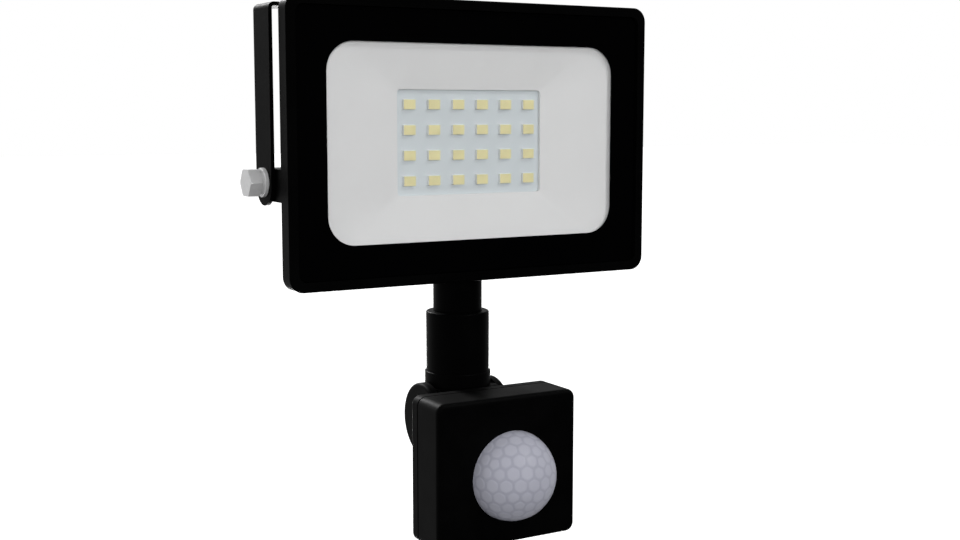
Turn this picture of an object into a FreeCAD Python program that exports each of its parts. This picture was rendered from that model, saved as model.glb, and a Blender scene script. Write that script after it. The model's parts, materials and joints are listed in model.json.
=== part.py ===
import FreeCAD, Part
import math
import os

# Slim LED floodlight with a motion-sensor head under it.  Millimetres.
# Origin: centre of the mounting face of the bracket's bridge, in the middle of its centre hole.
# +Z is up, +X is to the right seen from the front, and the lamp shines towards -Y.

os.makedirs("parts", exist_ok=True)
V = FreeCAD.Vector
X = V(1, 0, 0)
Y = V(0, 1, 0)
Z = V(0, 0, 1)
EXTRA = 1.0  # how far a cutting tool runs past the face it cuts
NEAR = 0.01  # two faces closer than this are in the same place

# ---- driving dimensions: lamp panel -------------------------------------------------------
PANEL_W = 112.0
PANEL_H = 76.3
PANEL_CORNER_R = 4.0
FLANGE_T = 4.9
RIM_W = 2.65
EDGE_R = 0.4

FRONT = -14.2  # plane of the panel's raised rim
BOTTOM = -74.5  # lower edge of the panel
PANEL_Z = BOTTOM + PANEL_H / 2
SIDE = PANEL_W / 2

# Layers behind the rim plane, from the front to the back.
PRINT_Y = FRONT + 1.0
GLASS_Y = FRONT + 1.1
GLASS_BACK = FRONT + 2.2
LEDGE_Y = FRONT + 2.7
DISH_END_Y = FRONT + 4.7
FLANGE_BACK = FRONT + FLANGE_T
BOARD_Y = FRONT + 5.65
BOARD_BACK = BOARD_Y + 1.2
FLOOR_Y = BOARD_BACK + 0.3
FLOOR_BACK = FRONT + 9.5

GLASS_GAP = 0.2
GLASS_CORNER_R = 2.2
WINDOW_W = 89.4
WINDOW_H = 53.2
WINDOW_R = 7.8
CAVITY_W = 94.0
CAVITY_H = 57.4
CAVITY_R = 5.0

# LED grid
LED_COLUMNS = 6
LED_ROWS = 4
LED_PITCH_X = 7.55
LED_PITCH_Z = 6.88
LED_W = 3.6
LED_H = 2.7
LED_T = 0.85
PHOSPHOR_T = 0.1
OPENING_W = 45.4
OPENING_H = 28.6
OPENING_R = 1.0
DISH_T = 0.6

BOARD_W = 90.0
BOARD_H = 55.0
BOARD_SCREW_X = 41.5
BOARD_SCREW_Z = 24.0
LEAD_HOLE_X = -14.0
LEAD_HOLE_Z = BOTTOM + 18.0
LEAD_HOLE_R = 2.2

# Rear of the housing
TRAY_W = 98.0
TRAY_H = 68.5
TRAY_R = 5.0
TRAY_Z = BOTTOM + 2.5 + TRAY_H / 2
TRAY_EDGE_R = 1.5
FIN_T = 1.6
FIN_BACK = FRONT + 17.5
FIN_PITCH = 6.2
FIN_TIP_T = 1.2
FIN_EDGE_R = 0.35
SIDE_FINS = 4
TOP_FINS = 7
SIDE_FIN_H = 64.0
BOX_W = 50.0
BOX_H = 34.0
BOX_Z = BOTTOM + 19.5
BOX_BACK = FRONT + 19.8
POCKET_W = 40.0
POCKET_H = 22.0
POCKET_Z = BOTTOM + 20.0
COVER_SEAL_T = 0.4
COVER_T = 2.0
COVER_Y = BOX_BACK + COVER_SEAL_T
COVER_BACK = COVER_Y + COVER_T
COVER_SCREW_X = 22.2
COVER_SCREW_Z = 13.9

# ---- driving dimensions: bracket and tilt axis ---------------------------------------------
TILT_Z = -46.4
STRIP_W = 10.7
STRIP_T = 1.0
LEG_END_Z = TILT_Z - 0.75  # centre of the round end, a little below the bolt
LUG_Z = TILT_Z - 0.6
LEG_GAP = 0.1  # between a leg and the lug that it turns against
LEG_IN = SIDE + LEG_GAP
LEG_OUT = LEG_IN + STRIP_T
BEND_R = 1.6
CENTRE_HOLE_R = 3.2
SLOT_W = 5.2
SLOT_L = 14.0
SLOT_X = 30.0
BOLT_R = 2.0
BOLT_CLEARANCE = 0.08
LUG_H = 8.6
LUG_BACK = FRONT + 19.4
LUG_IN = 44.5
BOLT_DEPTH = 7.0
HEAD_AF = 7.0
HEAD_H = 3.3
WASHER_R = 3.85
WASHER_T = 0.8
SPRING_R = 3.45
SPRING_T = 1.0

# ---- driving dimensions: neck and swivel ---------------------------------------------------
NECK_Y = FRONT + 12.45
NECK_R = 6.93
NECK_TOP = BOTTOM + 1.9
NECK_SEAL_T = 0.6
NECK_BORE_R = 3.2
THREAD_R = 4.95
THREAD_TOP = BOTTOM + 8.9
COLLAR_TOP = BOTTOM - 9.75
COLLAR_BOTTOM = BOTTOM - 26.9
COLLAR_R = 9.0
COUNTERBORE_DEPTH = 2.0
PIVOT_R = 5.8
RUN = 0.05  # running clearance on radius
CLIP_TOP = BOTTOM - 22.4
CLIP_T = 0.9
CLIP_R = 7.0
PIVOT_END = BOTTOM - 25.0
CHAMBER_TOP = BOTTOM - 22.2
RING_R = 9.44
RING_BOTTOM = BOTTOM - 31.1
SOCKET_R = 8.25
SOCKET_DEPTH = 3.0
CHAMBER_R = 7.1

# ---- driving dimensions: sensor head -------------------------------------------------------
HINGE_Z = BOTTOM - 40.4
KNUCKLE_HALF = 9.4
KNUCKLE_R = 9.7
KNUCKLE_CORNER_R = 4.0
EAR_IN = 9.7
EAR_OUT = 12.2
EAR_R = 10.5
EAR_EDGE_R = 0.9
TRUNNION_R = 4.0
TRUNNION_L = 2.8
TILT_SCREW_R = 2.0

HEAD_W = 43.5
HEAD_H_Z = 40.6
HEAD_Z = BOTTOM - 50.1
HEAD_FRONT = FRONT - 15.8
HEAD_SPLIT_FRONT = FRONT - 4.55
HEAD_SPLIT_BACK = FRONT - 4.05
HEAD_BACK = FRONT - 0.2
HEAD_CORNER_R = 2.5
HEAD_FRONT_R = 1.3
HEAD_BACK_R = 1.4
HEAD_WALL = 1.8
HEAD_TOP = HEAD_Z + HEAD_H_Z / 2
HEAD_FLOOR = HEAD_Z - HEAD_H_Z / 2
POST_X = 17.2
POST_Z = 15.8
POST_R = 2.6

LENS_X = 1.3
LENS_Z = BOTTOM - 51.7
LENS_Y = FRONT - 14.84
LENS_R = 12.38
LENS_T = 0.9
LENS_FLANGE_R = 14.2
LENS_FLANGE_T = 0.9
RETAINER_T = 1.0

SENSOR_BOARD_Y = FRONT - 5.6
SENSOR_BOARD_T = 1.2
DIAL_Y = FRONT - 8.6
DIAL_X = {"time": -10.5, "range": 0.0, "light": 10.5}
DIAL_R = 2.6
DIAL_STEM_R = 1.6

LEAD_R = 0.5
LEAD_SPREAD = 1.6

# ---- driving dimensions: glass, boards and fasteners ---------------------------------------
GLASS_W = PANEL_W - 2 * RIM_W - 2 * GLASS_GAP
GLASS_H = PANEL_H - 2 * RIM_W - 2 * GLASS_GAP
BOARD_CORNER_R = 3.0
BOARD_SCREW_R = 1.15
BOARD_SCREW_TIP = FLOOR_BACK - 0.6
COVER_SCREW_R = 1.35
COVER_SCREW_TIP = BOX_BACK - 6.5
SCREW_CLEARANCE = 0.3
BOX_CORNER_R = 3.0
POCKET_CORNER_R = 2.0
EARTH_X = 14.5
EARTH_Z = POCKET_Z - 5.0
EARTH_SCREW_R = 1.35
EARTH_TAG_T = 0.6
HEAD_SCREW_R = 0.9
HEAD_SCREW_HEAD_R = 2.2
HEAD_SCREW_SEAT = HEAD_BACK - 1.2
HEAD_SCREW_TIP = SENSOR_BOARD_Y - 6.0

# ---- driving dimensions: cable gland and terminals -----------------------------------------
GLAND_Z = BOX_Z
GLAND_THREAD_R = 6.0
GLAND_HEX = 15.0
GLAND_BORE_R = 4.2
GLAND_SEAL_R = 5.0
GLAND_SEAT_DEPTH = 5.0
GLAND_SEAL_PROUD = 2.4
CABLE_R = 3.5
GLAND_FLANGE_BACK = COVER_BACK + 3.0
GLAND_BODY_BACK = COVER_BACK + 8.0
GLAND_NUT_FRONT = GLAND_FLANGE_BACK + 0.4
GLAND_NUT_BACK = COVER_BACK + 12.4
GLAND_NUT_NOSE_R = 3.6
GLAND_NUT_RIBS = 12
LOCK_NUT_T = 2.2
TERMINAL_W = 18.0
TERMINAL_POLES = (-6.0, 0.0, 6.0)
TERMINAL_WIRE_Y = FLOOR_BACK + 3.0
TERMINAL_Z0 = POCKET_Z - 1.5
TERMINAL_Z1 = POCKET_Z + 7.0
TERMINAL_MID = (TERMINAL_Z0 + TERMINAL_Z1) / 2
TERMINAL_BACK = FLOOR_BACK + 6.8
TERMINAL_SCREW_R = 1.5

# ---- driving dimensions: parts of the swivel and the tilt ----------------------------------
O_RING_Z = BOTTOM - 17.0
LEAD_CHANNEL_R = 4.0
LEAD_TURN_Z = HINGE_Z + 4.7
INSERT_R = 2.8
INSERT_END = -EAR_OUT + 0.8
PIR_CAN_R = 4.1
PIR_FRONT = SENSOR_BOARD_Y - 6.4
PIR_BACK = SENSOR_BOARD_Y - 2.4


# ---- shape helpers -------------------------------------------------------------------------
def box(x0, x1, y0, y1, z0, z1):
    return Part.makeBox(x1 - x0, y1 - y0, z1 - z0, V(x0, y0, z0))


def rod(radius, start, end):
    return Part.makeCylinder(radius, (end - start).Length, start, end - start)


def y_rod(radius, x, z, y0, y1):
    return rod(radius, V(x, y0, z), V(x, y1, z))


def tube(outer, inner, start, end):
    return rod(outer, start, end).cut(rod(inner, start, end))


def fused(shapes):
    return shapes[0].multiFuse(shapes[1:]).removeSplitter() if len(shapes) > 1 else shapes[0]


def group(solids):
    return Part.makeCompound(solids)


def edges_on_y(shape, y):
    """Edges that lie in the plane at y."""
    return [e for e in shape.Edges if abs(e.BoundBox.YMin - y) < NEAR and abs(e.BoundBox.YMax - y) < NEAR]


def edges_along(shape, direction):
    straight = [e for e in shape.Edges if isinstance(e.Curve, Part.Line)]
    return [e for e in straight if abs(e.tangentAt(e.FirstParameter).dot(direction)) > 0.999]


def at_top(edges, z):
    """The edges that are nowhere below z."""
    return [e for e in edges if e.BoundBox.ZMin > z - NEAR]


def slab(width, height, y0, y1, corner_r, x=0.0, z=PANEL_Z):
    """Plate that faces Y, with rounded corners."""
    plate = box(x - width / 2, x + width / 2, y0, y1, z - height / 2, z + height / 2)
    return plate.makeFillet(corner_r, edges_along(plate, Y))


def prism(start, end, across_flats, corner):
    """Hexagonal bar with one corner in the given direction."""
    axis = (end - start).normalize()
    side = axis.cross(corner)
    radius = across_flats / math.sqrt(3.0)
    points = []
    for i in range(7):
        angle = math.radians(60.0 * i)
        points.append(start + corner * (radius * math.cos(angle)) + side * (radius * math.sin(angle)))
    face = Part.Face(Part.makePolygon(points))
    return face.extrude(end - start)


def outline(width, height, y, corner_r, z=PANEL_Z):
    """Closed rounded rectangle in a plane that faces Y."""
    half_w = width / 2 - corner_r
    half_h = height / 2 - corner_r
    middle = corner_r * math.sqrt(0.5)
    edges = []
    for sx, sz in ((1, 1), (-1, 1), (-1, -1), (1, -1)):
        centre = V(sx * half_w, y, z + sz * half_h)
        beside = centre + X * (sx * corner_r)
        above = centre + Z * (sz * corner_r)
        between = centre + V(sx * middle, 0, sz * middle)
        first, last = (beside, above) if sx * sz > 0 else (above, beside)
        edges.append(Part.Arc(first, between, last).toShape())
    ring = []
    for arc, following in zip(edges, edges[1:] + edges[:1]):
        ring.append(arc)
        ring.append(Part.LineSegment(arc.Vertexes[-1].Point, following.Vertexes[0].Point).toShape())
    return Part.Wire(ring)


def lead(points, radius=LEAD_R):
    """Insulated wire along straight runs, with round knees."""
    pieces = [rod(radius, a, b) for a, b in zip(points, points[1:])]
    pieces += [Part.makeSphere(radius, p) for p in points[1:-1]]
    return fused(pieces)


def grid(xs, zs):
    return [(x, z) for x in xs for z in zs]


# ---- bracket -------------------------------------------------------------------------------
def bracket_slot(mid):
    """Long screw hole in the bridge, as a cutter."""
    straight = (SLOT_L - SLOT_W) / 2
    low = -STRIP_T - EXTRA
    pieces = [box(mid - straight, mid + straight, -SLOT_W / 2, SLOT_W / 2, low, EXTRA)]
    for end in (mid - straight, mid + straight):
        pieces.append(rod(SLOT_W / 2, V(end, 0, low), V(end, 0, EXTRA)))
    return fused(pieces)


def bracket():
    """One steel strip bent into a U, with a round end to each leg."""
    half = STRIP_W / 2
    outer = box(-LEG_OUT, LEG_OUT, -half, half, LEG_END_Z, 0.0)
    outer = outer.makeFillet(BEND_R, at_top(edges_along(outer, Y), 0.0))
    inner = box(-LEG_IN, LEG_IN, -half - EXTRA, half + EXTRA, LEG_END_Z - EXTRA, -STRIP_T)
    inner = inner.makeFillet(BEND_R - STRIP_T, at_top(edges_along(inner, Y), -STRIP_T))
    ends = [rod(half, V(side * LEG_IN, 0, LEG_END_Z), V(side * LEG_OUT, 0, LEG_END_Z)) for side in (-1, 1)]
    reach = LEG_OUT + EXTRA
    return fused([outer.cut(inner)] + ends).cut([
        rod(BOLT_R + BOLT_CLEARANCE, V(-reach, 0, TILT_Z), V(reach, 0, TILT_Z)),
        rod(CENTRE_HOLE_R, V(0, 0, -STRIP_T - EXTRA), V(0, 0, EXTRA)),
        bracket_slot(-SLOT_X),
        bracket_slot(SLOT_X),
    ])


# ---- housing -------------------------------------------------------------------------------
def lug(side):
    """Ear on the housing's side that the bracket leg turns against."""
    half = LUG_H / 2
    blunt = 1.2
    profile = [(FLANGE_BACK - 0.5, half), (LUG_BACK - blunt, half), (LUG_BACK, half - blunt)]
    points = [V(side * LUG_IN, y, LUG_Z + z) for y, z in profile]
    points += [V(side * LUG_IN, y, LUG_Z - z) for y, z in reversed(profile)]
    face = Part.Face(Part.makePolygon(points + points[:1]))
    return face.extrude(V(side * (SIDE - LUG_IN), 0, 0))


def fin(x, foot, top):
    """One upright cooling fin, thinner at its tip, with rounded edges."""
    root = FLOOR_BACK - 0.5
    profile = [V(x - FIN_T / 2, root, foot), V(x + FIN_T / 2, root, foot),
               V(x + FIN_TIP_T / 2, FIN_BACK, foot), V(x - FIN_TIP_T / 2, FIN_BACK, foot)]
    blade = Part.Face(Part.makePolygon(profile + profile[:1])).extrude(V(0, 0, top - foot))
    return blade.makeFillet(FIN_EDGE_R, edges_on_y(blade, FIN_BACK))


def fins():
    """Cooling fins beside and above the wiring box."""
    top = PANEL_Z + SIDE_FIN_H / 2
    first = BOX_W / 2 + 3.0
    found = []
    for i in range(SIDE_FINS):
        for side in (-1, 1):
            found.append(fin(side * (first + i * FIN_PITCH), PANEL_Z - SIDE_FIN_H / 2, top))
    foot = BOX_Z + BOX_H / 2 + 1.5
    for i in range(TOP_FINS):
        found.append(fin((i - (TOP_FINS - 1) / 2) * FIN_PITCH, foot, top))
    return found


def board_screw_places():
    return grid((-BOARD_SCREW_X, BOARD_SCREW_X), (PANEL_Z - BOARD_SCREW_Z, PANEL_Z + BOARD_SCREW_Z))


def cover_screw_places():
    return grid((-COVER_SCREW_X, COVER_SCREW_X), (BOX_Z - COVER_SCREW_Z, BOX_Z + COVER_SCREW_Z))


def housing():
    """Die-cast shell: flange, shallow tray, wiring box, lugs and fins in one piece."""
    flange = slab(PANEL_W, PANEL_H, FRONT, FLANGE_BACK, PANEL_CORNER_R)
    flange = flange.makeFillet(EDGE_R, edges_on_y(flange, FRONT))
    tray = slab(TRAY_W, TRAY_H, FLANGE_BACK - 0.5, FLOOR_BACK, TRAY_R, z=TRAY_Z)
    tray = tray.makeFillet(TRAY_EDGE_R, edges_on_y(tray, FLOOR_BACK))
    wiring_box = slab(BOX_W, BOX_H, FLANGE_BACK, BOX_BACK, BOX_CORNER_R, z=BOX_Z)
    body = fused([flange, tray, wiring_box, lug(-1), lug(1)] + fins())

    cuts = [
        slab(PANEL_W - 2 * RIM_W, PANEL_H - 2 * RIM_W, FRONT - EXTRA, LEDGE_Y, GLASS_CORNER_R),
        slab(CAVITY_W, CAVITY_H, LEDGE_Y - EXTRA, FLOOR_Y, CAVITY_R),
        slab(POCKET_W, POCKET_H, FLOOR_BACK, BOX_BACK + EXTRA, POCKET_CORNER_R, z=POCKET_Z),
        rod(THREAD_R + RUN, V(0, NECK_Y, BOTTOM), V(0, NECK_Y, THREAD_TOP + 0.2)),
        y_rod(LEAD_HOLE_R, LEAD_HOLE_X, LEAD_HOLE_Z, FLOOR_Y - EXTRA, FLOOR_BACK + EXTRA),
        y_rod(EARTH_SCREW_R + RUN, EARTH_X, EARTH_Z, FLOOR_BACK - 1.6, FLOOR_BACK + EXTRA),
    ]
    for side in (-1, 1):
        bottom = V(side * (SIDE - BOLT_DEPTH - 0.5), 0, TILT_Z)
        cuts.append(rod(BOLT_R, bottom, V(side * (SIDE + EXTRA), 0, TILT_Z)))
    for x, z in board_screw_places():
        cuts.append(y_rod(BOARD_SCREW_R + RUN, x, z, FLOOR_Y - EXTRA, BOARD_SCREW_TIP + 0.2))
    for x, z in cover_screw_places():
        cuts.append(y_rod(COVER_SCREW_R + RUN, x, z, COVER_SCREW_TIP - 0.7, BOX_BACK + EXTRA))
    return body.cut(cuts)


# ---- what is behind the glass --------------------------------------------------------------
def front_glass():
    return slab(GLASS_W, GLASS_H, GLASS_Y, GLASS_BACK, GLASS_CORNER_R)


def glass_border_print():
    window = slab(WINDOW_W, WINDOW_H, PRINT_Y - EXTRA, GLASS_Y + EXTRA, WINDOW_R)
    return slab(GLASS_W, GLASS_H, PRINT_Y, GLASS_Y, GLASS_CORNER_R).cut(window)


def glass_seal():
    inside = slab(CAVITY_W + 0.6, CAVITY_H + 0.6, GLASS_BACK - EXTRA, LEDGE_Y + EXTRA, CAVITY_R)
    return slab(GLASS_W - 0.4, GLASS_H - 0.4, GLASS_BACK, LEDGE_Y, GLASS_CORNER_R).cut(inside)


def reflector():
    """Shallow dish from the window's outline down to the opening over the LEDs."""
    top = GLASS_BACK + 0.05
    under = BOARD_Y - 0.05
    wall = 2 * DISH_T
    outside = Part.makeLoft([outline(WINDOW_W + wall, WINDOW_H + wall, top, WINDOW_R),
                             outline(OPENING_W + wall, OPENING_H + wall, DISH_END_Y + DISH_T, OPENING_R)],
                            True, True)
    hollow = Part.makeLoft([outline(WINDOW_W, WINDOW_H, top, WINDOW_R),
                            outline(OPENING_W, OPENING_H, DISH_END_Y, OPENING_R)], True, True)
    lip = slab(CAVITY_W - 0.4, CAVITY_H - 0.4, top, top + DISH_T, CAVITY_R)
    skirt = slab(OPENING_W + wall, OPENING_H + wall, DISH_END_Y - 0.2, under, OPENING_R)
    opening = slab(OPENING_W, OPENING_H, top - EXTRA, BOARD_Y + EXTRA, OPENING_R)
    whole = fused([outside, lip, skirt])
    return whole.cut([hollow, opening]).common(slab(CAVITY_W, CAVITY_H, top, under, CAVITY_R))


def board_plate(width, height, y0, y1, hole_r):
    """Plate with four screw holes and a hole for the leads."""
    holes = [y_rod(hole_r, x, z, y0 - EXTRA, y1 + EXTRA) for x, z in board_screw_places()]
    holes.append(y_rod(LEAD_HOLE_R, LEAD_HOLE_X, LEAD_HOLE_Z, y0 - EXTRA, y1 + EXTRA))
    return slab(width, height, y0, y1, BOARD_CORNER_R).cut(holes)


def led_board():
    return board_plate(BOARD_W, BOARD_H, BOARD_Y, BOARD_BACK, BOARD_SCREW_R + SCREW_CLEARANCE)


def thermal_pad():
    return board_plate(BOARD_W - 2, BOARD_H - 2, BOARD_BACK, FLOOR_Y, BOARD_SCREW_R + 2 * SCREW_CLEARANCE)


def led_places():
    xs = [(i - (LED_COLUMNS - 1) / 2) * LED_PITCH_X for i in range(LED_COLUMNS)]
    zs = [PANEL_Z + (i - (LED_ROWS - 1) / 2) * LED_PITCH_Z for i in range(LED_ROWS)]
    return grid(xs, zs)


def on_led_board(width, height, thickness, x, z, corner_r=0.15):
    return slab(width, height, BOARD_Y - thickness, BOARD_Y, corner_r, x, z)


def led_packages():
    return group([on_led_board(LED_W, LED_H, LED_T, x, z) for x, z in led_places()])


def led_phosphors():
    """Thin yellow faces, a little smaller than the packages that they sit on."""
    low = BOARD_Y - LED_T
    high = low - PHOSPHOR_T
    margin = 0.12
    return group([slab(LED_W - margin, LED_H - margin, high, low, 0.15, x, z) for x, z in led_places()])


def driver_chips():
    return group([on_led_board(4.9, 3.9, 1.1, -38.5, PANEL_Z + z) for z in (-7.0, 0.0, 7.0)])


def rectifier():
    return on_led_board(4.6, 3.8, 1.2, 38.5, PANEL_Z - 8.0)


def chip_resistors():
    return group([on_led_board(1.6, 3.1, 0.55, 34.5 + 2.6 * i, PANEL_Z + 4.0) for i in range(4)])


def pan_screw(radius, head_r, head_h, seat, tip):
    """Screw with a low round head on seat, its shank running to tip, and a cross recess."""
    axis = (tip - seat).normalize()
    top = seat - axis * head_h
    head = rod(head_r, top, seat)
    circles = [e for e in head.Edges if isinstance(e.Curve, Part.Circle)]
    head = head.makeFillet(head_h * 0.45, [e for e in circles if (e.Curve.Center - top).Length < NEAR])
    across = X if abs(axis.dot(X)) < 0.5 else Z
    along = axis.cross(across)
    slot_l = head_r * 0.55
    slot_w = head_r * 0.12
    cross = []
    for u, v in ((across, along), (along, across)):
        corners = [top + u * (a * slot_l) + v * (b * slot_w)
                   for a, b in ((-1, -1), (1, -1), (1, 1), (-1, 1), (-1, -1))]
        cross.append(Part.Face(Part.makePolygon(corners)).extrude(axis * (head_h * 0.6)))
    return fused([head, rod(radius, seat, tip)]).cut(cross)


def y_screws(places, radius, head_r, head_h, seat, tip):
    """A pan screw along Y at each place."""
    return group([pan_screw(radius, head_r, head_h, V(x, seat, z), V(x, tip, z)) for x, z in places])


def board_screws():
    return y_screws(board_screw_places(), BOARD_SCREW_R, 2.1, 0.95, BOARD_Y, BOARD_SCREW_TIP)


# ---- wiring box ----------------------------------------------------------------------------
def at_gland(y):
    return V(0, y, GLAND_Z)


def cover_screw_holes(y0, y1):
    return [y_rod(COVER_SCREW_R + SCREW_CLEARANCE, x, z, y0, y1) for x, z in cover_screw_places()]


def rear_cover():
    plate = slab(BOX_W, BOX_H, COVER_Y, COVER_BACK, BOX_CORNER_R, z=BOX_Z)
    plate = plate.makeFillet(0.8, edges_on_y(plate, COVER_BACK))
    holes = cover_screw_holes(COVER_Y - EXTRA, COVER_BACK + EXTRA)
    holes.append(rod(GLAND_THREAD_R + RUN, at_gland(COVER_Y - EXTRA), at_gland(COVER_BACK + EXTRA)))
    return plate.cut(holes)


def rear_cover_seal():
    plate = slab(BOX_W - 0.6, BOX_H - 0.6, BOX_BACK, COVER_Y, BOX_CORNER_R, z=BOX_Z)
    y0 = BOX_BACK - EXTRA
    y1 = COVER_Y + EXTRA
    inside = slab(POCKET_W + 0.6, POCKET_H + 0.6, y0, y1, POCKET_CORNER_R, z=POCKET_Z)
    return plate.cut(cover_screw_holes(y0, y1) + [inside])


def rear_cover_screws():
    return y_screws(cover_screw_places(), COVER_SCREW_R, 2.7, 1.8, COVER_BACK, COVER_SCREW_TIP)


def gland_body():
    """Hexagonal flange on a thread, bored for the cable and counterbored for the bush."""
    hexagon = prism(at_gland(COVER_BACK), at_gland(GLAND_FLANGE_BACK), GLAND_HEX, Z)
    inner_end = COVER_Y - LOCK_NUT_T - 0.4
    seat = GLAND_BODY_BACK - GLAND_SEAT_DEPTH
    past = at_gland(GLAND_BODY_BACK + EXTRA)
    body = fused([hexagon, rod(GLAND_THREAD_R, at_gland(inner_end), at_gland(GLAND_BODY_BACK))])
    return body.cut([
        rod(GLAND_BORE_R, at_gland(inner_end - EXTRA), past),
        rod(GLAND_SEAL_R + RUN, at_gland(seat), past),
    ])


def gland_seal():
    """Rubber bush that grips the cable."""
    seat = GLAND_BODY_BACK - GLAND_SEAT_DEPTH
    return tube(GLAND_SEAL_R, CABLE_R, at_gland(seat), at_gland(GLAND_BODY_BACK + GLAND_SEAL_PROUD))


def gland_dome_nut():
    """Grooved cap nut with a rounded nose."""
    front = at_gland(GLAND_NUT_FRONT - EXTRA)
    body_back = at_gland(GLAND_BODY_BACK)
    shell = rod(GLAND_HEX / 2 + 0.6, at_gland(GLAND_NUT_FRONT), at_gland(GLAND_NUT_BACK))
    shell = shell.makeFillet(GLAND_NUT_NOSE_R, edges_on_y(shell, GLAND_NUT_BACK))
    cuts = [
        rod(GLAND_THREAD_R + RUN, front, at_gland(GLAND_BODY_BACK + 0.3)),
        rod(GLAND_SEAL_R + RUN, body_back, at_gland(GLAND_BODY_BACK + GLAND_SEAL_PROUD + 0.1)),
        rod(CABLE_R + 0.4, body_back, at_gland(GLAND_NUT_BACK + EXTRA)),
    ]
    groove_end = at_gland(GLAND_NUT_BACK - GLAND_NUT_NOSE_R + 1.2)
    for i in range(GLAND_NUT_RIBS):
        angle = 2 * math.pi * i / GLAND_NUT_RIBS
        out = V(math.cos(angle), 0, math.sin(angle)) * (GLAND_HEX / 2 + 0.95)
        cuts.append(rod(0.7, front + out, groove_end + out))
    return shell.cut(cuts)


def gland_lock_nut():
    nut = prism(at_gland(COVER_Y - LOCK_NUT_T), at_gland(COVER_Y), GLAND_HEX, Z)
    return nut.cut(rod(GLAND_THREAD_R + RUN, at_gland(COVER_Y - 2 * LOCK_NUT_T), at_gland(COVER_Y + EXTRA)))


def terminal_block():
    """Three-way block with a wire hole and a screw hole for each pole."""
    half = TERMINAL_W / 2
    low = TERMINAL_Z0 - EXTRA
    high = TERMINAL_Z1 + EXTRA
    past = TERMINAL_BACK + EXTRA
    cuts = []
    for x in TERMINAL_POLES:
        cuts.append(rod(1.3, V(x, TERMINAL_WIRE_Y, low), V(x, TERMINAL_WIRE_Y, high)))
        cuts.append(y_rod(TERMINAL_SCREW_R + 0.2, x, TERMINAL_MID, TERMINAL_WIRE_Y + 1.0, past))
    for left, right in zip(TERMINAL_POLES, TERMINAL_POLES[1:]):
        x = (left + right) / 2
        cuts.append(box(x - 0.3, x + 0.3, TERMINAL_BACK - 1.2, past, low, high))
    return box(-half, half, FLOOR_BACK, TERMINAL_BACK, TERMINAL_Z0, TERMINAL_Z1).cut(cuts)


def terminal_screws():
    head_y = TERMINAL_BACK - 0.4
    reach = TERMINAL_SCREW_R + EXTRA
    found = []
    for x in TERMINAL_POLES:
        screw = y_rod(TERMINAL_SCREW_R, x, TERMINAL_MID, TERMINAL_WIRE_Y + 1.4, head_y)
        slot = box(x - reach, x + reach, head_y - 0.7, head_y + EXTRA, TERMINAL_MID - 0.2, TERMINAL_MID + 0.2)
        found.append(screw.cut(slot))
    return group(found)


def earth_screw():
    seat = FLOOR_BACK + EARTH_TAG_T
    return y_screws([(EARTH_X, EARTH_Z)], EARTH_SCREW_R, 2.6, 1.6, seat, FLOOR_BACK - 1.4)


def earth_tag():
    """Ring terminal under the earth screw."""
    seat = FLOOR_BACK + EARTH_TAG_T
    ring = y_rod(3.0, EARTH_X, EARTH_Z, FLOOR_BACK, seat)
    tail = box(EARTH_X - 1.2, EARTH_X + 1.2, FLOOR_BACK, seat, EARTH_Z, EARTH_Z + 6.5)
    hole = y_rod(EARTH_SCREW_R + RUN, EARTH_X, EARTH_Z, FLOOR_BACK - EXTRA, seat + EXTRA)
    return fused([ring, tail]).cut(hole)


def lamp_leads():
    """Two wires from the terminal block to solder pads on the LED board."""
    pad_y = BOARD_Y - LEAD_R - 0.02
    spread = 0.7
    found = []
    for pole, shift, rise in ((0, -spread, 1.6), (1, spread, 2.8)):
        x = TERMINAL_POLES[pole]
        over = TERMINAL_Z1 + rise
        hole_x = LEAD_HOLE_X + shift
        hole_z = LEAD_HOLE_Z - shift
        found.append(lead([
            V(x, TERMINAL_WIRE_Y, TERMINAL_Z1 - 2.0),
            V(x, TERMINAL_WIRE_Y, over),
            V(hole_x, TERMINAL_WIRE_Y, over),
            V(hole_x, TERMINAL_WIRE_Y, hole_z),
            V(hole_x, pad_y, hole_z),
            V(hole_x - 5.0, pad_y, hole_z),
        ]))
    return group(found)


def neck_leads():
    """Three wires from the terminal block down through the neck tube."""
    found = []
    for i, x in enumerate(TERMINAL_POLES):
        low_x = (i - 1) * LEAD_SPREAD
        found.append(lead([
            V(x, TERMINAL_WIRE_Y, TERMINAL_Z0 + 2.0),
            V(x, TERMINAL_WIRE_Y, TERMINAL_Z0 - 1.5),
            V(low_x, NECK_Y, THREAD_TOP + 2.0),
            V(low_x, NECK_Y, PIVOT_END + 0.5),
        ]))
    return group(found)


# ---- fasteners of the tilt axis ------------------------------------------------------------
def mirrored_pair(build):
    return group([build(-1), build(1)])


def on_leg(side, out):
    """Point on the tilt axis, a distance out from the leg's outer face."""
    return V(side * (LEG_OUT + out), 0, TILT_Z)


def bracket_bolts():
    """Hexagon bolts, the corners of their heads slightly chamfered."""
    def one(side):
        seat = on_leg(side, WASHER_T + SPRING_T)
        head = prism(seat, on_leg(side, WASHER_T + SPRING_T + HEAD_H), HEAD_AF, Y)
        crown_r = HEAD_AF / 2 + 0.32
        crown = Part.makeCone(crown_r + HEAD_H, crown_r, HEAD_H, seat, X * side)
        shank = rod(BOLT_R - 0.02, V(side * (SIDE - BOLT_DEPTH), 0, TILT_Z), seat)
        return fused([head.common(crown), shank])
    return mirrored_pair(one)


def flat_washers():
    return mirrored_pair(lambda side: tube(WASHER_R, BOLT_R + 0.1, on_leg(side, 0.0), on_leg(side, WASHER_T)))


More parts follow.
